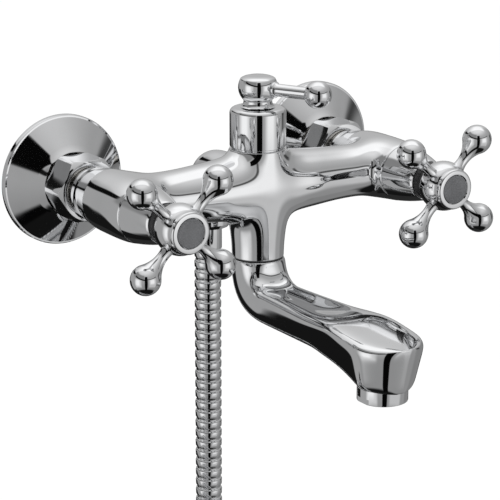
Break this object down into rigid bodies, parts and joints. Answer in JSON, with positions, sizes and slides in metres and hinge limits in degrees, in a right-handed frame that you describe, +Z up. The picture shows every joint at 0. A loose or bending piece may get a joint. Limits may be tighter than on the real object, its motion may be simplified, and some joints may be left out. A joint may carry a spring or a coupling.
{
  "type": "wall-mounted bath mixer",
  "caption": "Chrome wall-mounted bath mixer with cross handles, a lever diverter, a swivel spout and a shower hose.",
  "frame": {"origin": "on the wall plane, midway between the two water inlets", "axes": "+X to the right as one faces the mixer, +Y into the wall, +Z up"},
  "size_m": [0.274, 0.2025, 0.4023],
  "materials": {
    "polished_chrome": "mirror polish",
    "plain_brass": "machined",
    "nickel_brass": "nickel plated",
    "steel": "machined",
    "hose_steel": "ribbed bright steel",
    "rubber": "matt",
    "black_plastic": "satin",
    "white_ceramic": "lapped",
    "white_plastic": "matt",
    "dark_disc": "satin"
  },
  "bodies": {
    "mixer": {"body_casting": "polished_chrome", "left_eccentric_union": "nickel_brass", "right_eccentric_union": "nickel_brass", "left_wall_flange": "polished_chrome", "right_wall_flange": "polished_chrome", "left_union_nut": "polished_chrome", "right_union_nut": "polished_chrome", "left_union_washer": "rubber", "right_union_washer": "rubber", "left_inlet_tailpiece": "nickel_brass", "right_inlet_tailpiece": "nickel_brass", "left_valve_sleeve": "polished_chrome", "right_valve_sleeve": "polished_chrome", "left_guide_ring": "black_plastic", "right_guide_ring": "black_plastic", "left_headwork_body": "plain_brass", "right_headwork_body": "plain_brass", "left_seat_seal": "rubber", "right_seat_seal": "rubber", "left_fixed_disc": "white_ceramic", "right_fixed_disc": "white_ceramic", "diverter_bonnet": "polished_chrome", "diverter_cartridge": "plain_brass", "diverter_o_rings": "rubber", "outlet_nipple": "nickel_brass", "hose_nut": "polished_chrome", "hose_washer": "rubber", "hose_ferrule": "polished_chrome", "shower_hose": "hose_steel", "hose_coil": "hose_steel", "hose_tie": "black_plastic", "hose_end_ferrule": "polished_chrome", "hose_end_nut": "polished_chrome", "hose_end_washer": "rubber", "spout_slip_ring": "black_plastic", "spout_retaining_screw": "steel"},
    "left_handle": {"left_moving_disc": "white_ceramic", "left_spindle": "plain_brass", "left_cross_handle": "polished_chrome", "left_handle_screw": "steel", "left_index_cap": "dark_disc"},
    "right_handle": {"right_moving_disc": "white_ceramic", "right_spindle": "plain_brass", "right_cross_handle": "polished_chrome", "right_handle_screw": "steel", "right_index_cap": "dark_disc"},
    "diverter": {"diverter_stem": "plain_brass", "diverter_knob": "polished_chrome", "diverter_knob_screw": "steel", "lever_rod": "polished_chrome", "lever_ball": "polished_chrome"},
    "spout": {"spout_casting": "polished_chrome", "spout_o_rings": "rubber", "aerator_housing": "polished_chrome", "aerator_insert": "white_plastic", "aerator_washer": "rubber"}
  },
  "joints": [
    {"name": "left_handle_turn", "type": "hinge", "parent": "mixer", "child": "left_handle", "pos_m": [-0.075, -0.116, 0], "axis": [0, -1, 0], "range_deg": [0, 180]},
    {"name": "right_handle_turn", "type": "hinge", "parent": "mixer", "child": "right_handle", "pos_m": [0.075, -0.116, 0], "axis": [0, -1, 0], "range_deg": [0, 180]},
    {"name": "diverter_turn", "type": "hinge", "parent": "mixer", "child": "diverter", "pos_m": [0, -0.0635, 0.048], "axis": [0, 0, 1], "range_deg": [-72, 18]},
    {"name": "spout_swivel", "type": "hinge", "parent": "mixer", "child": "spout", "pos_m": [0, -0.0635, -0.036], "axis": [0, 0, 1], "range_deg": [-90, 90]}
  ]
}
